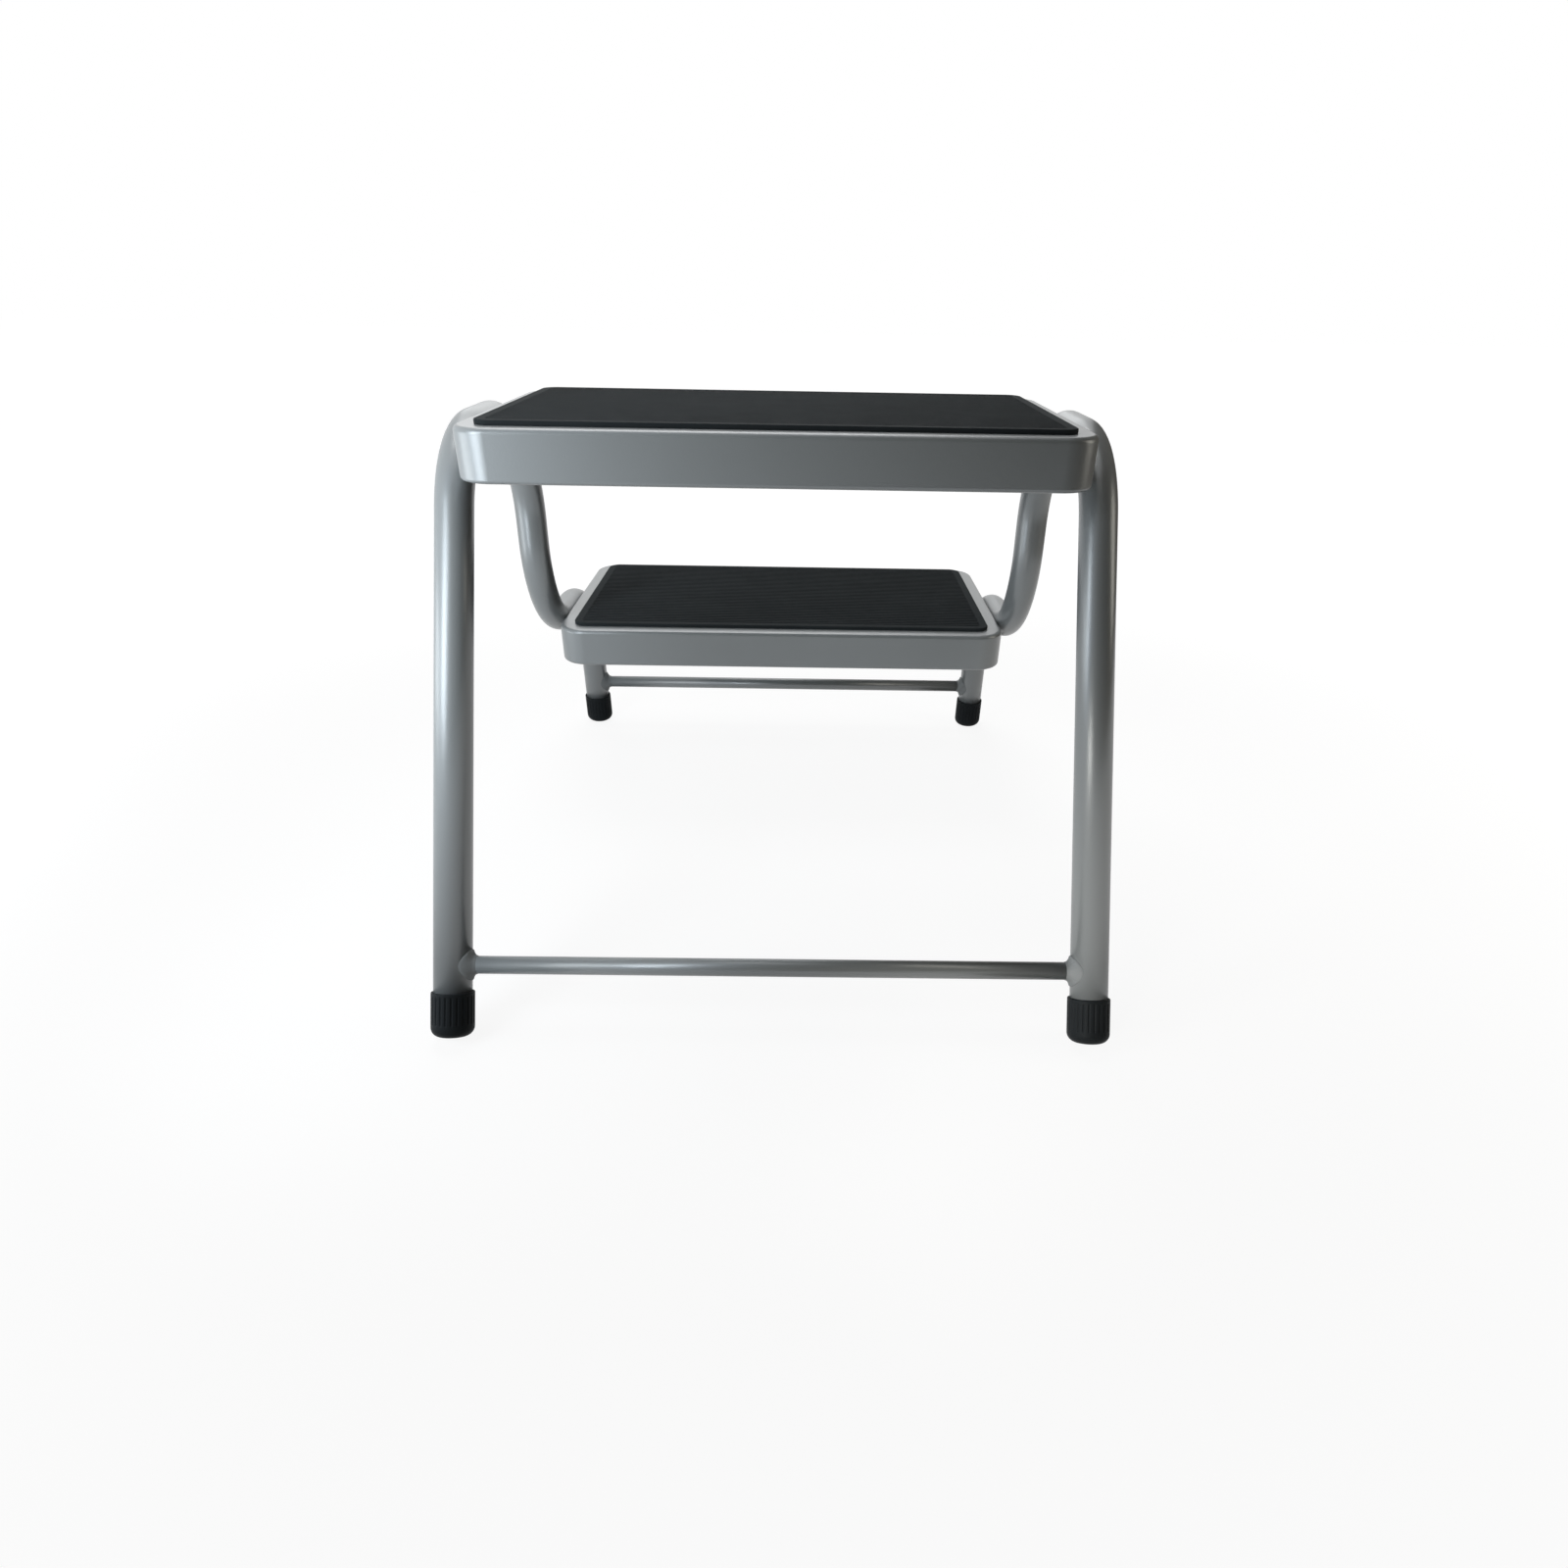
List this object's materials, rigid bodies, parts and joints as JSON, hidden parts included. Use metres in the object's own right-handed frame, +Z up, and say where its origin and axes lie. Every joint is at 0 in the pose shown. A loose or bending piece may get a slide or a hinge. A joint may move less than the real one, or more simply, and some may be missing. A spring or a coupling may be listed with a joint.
{
  "type": "two-tread caravan entry step",
  "caption": "Free-standing entry step: bent side tubes carry a high and a low pressed tread with ribbed rubber mats, crossbars and rubber feet.",
  "frame": {"origin": "on the floor, midway in X and Y under the step's bounding box", "axes": "+X to the right seen from behind the high tread, +Y from the high tread to the low one, +Z up"},
  "size_m": [0.453, 0.5844, 0.363],
  "materials": {
    "silver_coat": "satin silver-grey powder coat",
    "mat_rubber": "matte ribbed rubber",
    "cap_rubber": "satin moulded rubber"
  },
  "bodies": {
    "root": {"side_tube_left": "silver_coat", "side_tube_right": "silver_coat", "upper_tray": "silver_coat", "lower_tray": "silver_coat", "upper_mat": "mat_rubber", "lower_mat": "mat_rubber", "upper_stiffener": "silver_coat", "lower_stiffener": "silver_coat", "rear_crossbar": "silver_coat", "front_crossbar": "silver_coat", "rear_bar_weld_left": "silver_coat", "rear_bar_weld_right": "silver_coat", "front_bar_weld_left": "silver_coat", "front_bar_weld_right": "silver_coat", "upper_tray_weld_left": "silver_coat", "upper_tray_weld_right": "silver_coat", "lower_tray_weld_left": "silver_coat", "lower_tray_weld_right": "silver_coat", "rear_left_cap": "cap_rubber", "rear_right_cap": "cap_rubber", "front_left_cap": "cap_rubber", "front_right_cap": "cap_rubber"}
  },
  "joints": []
}
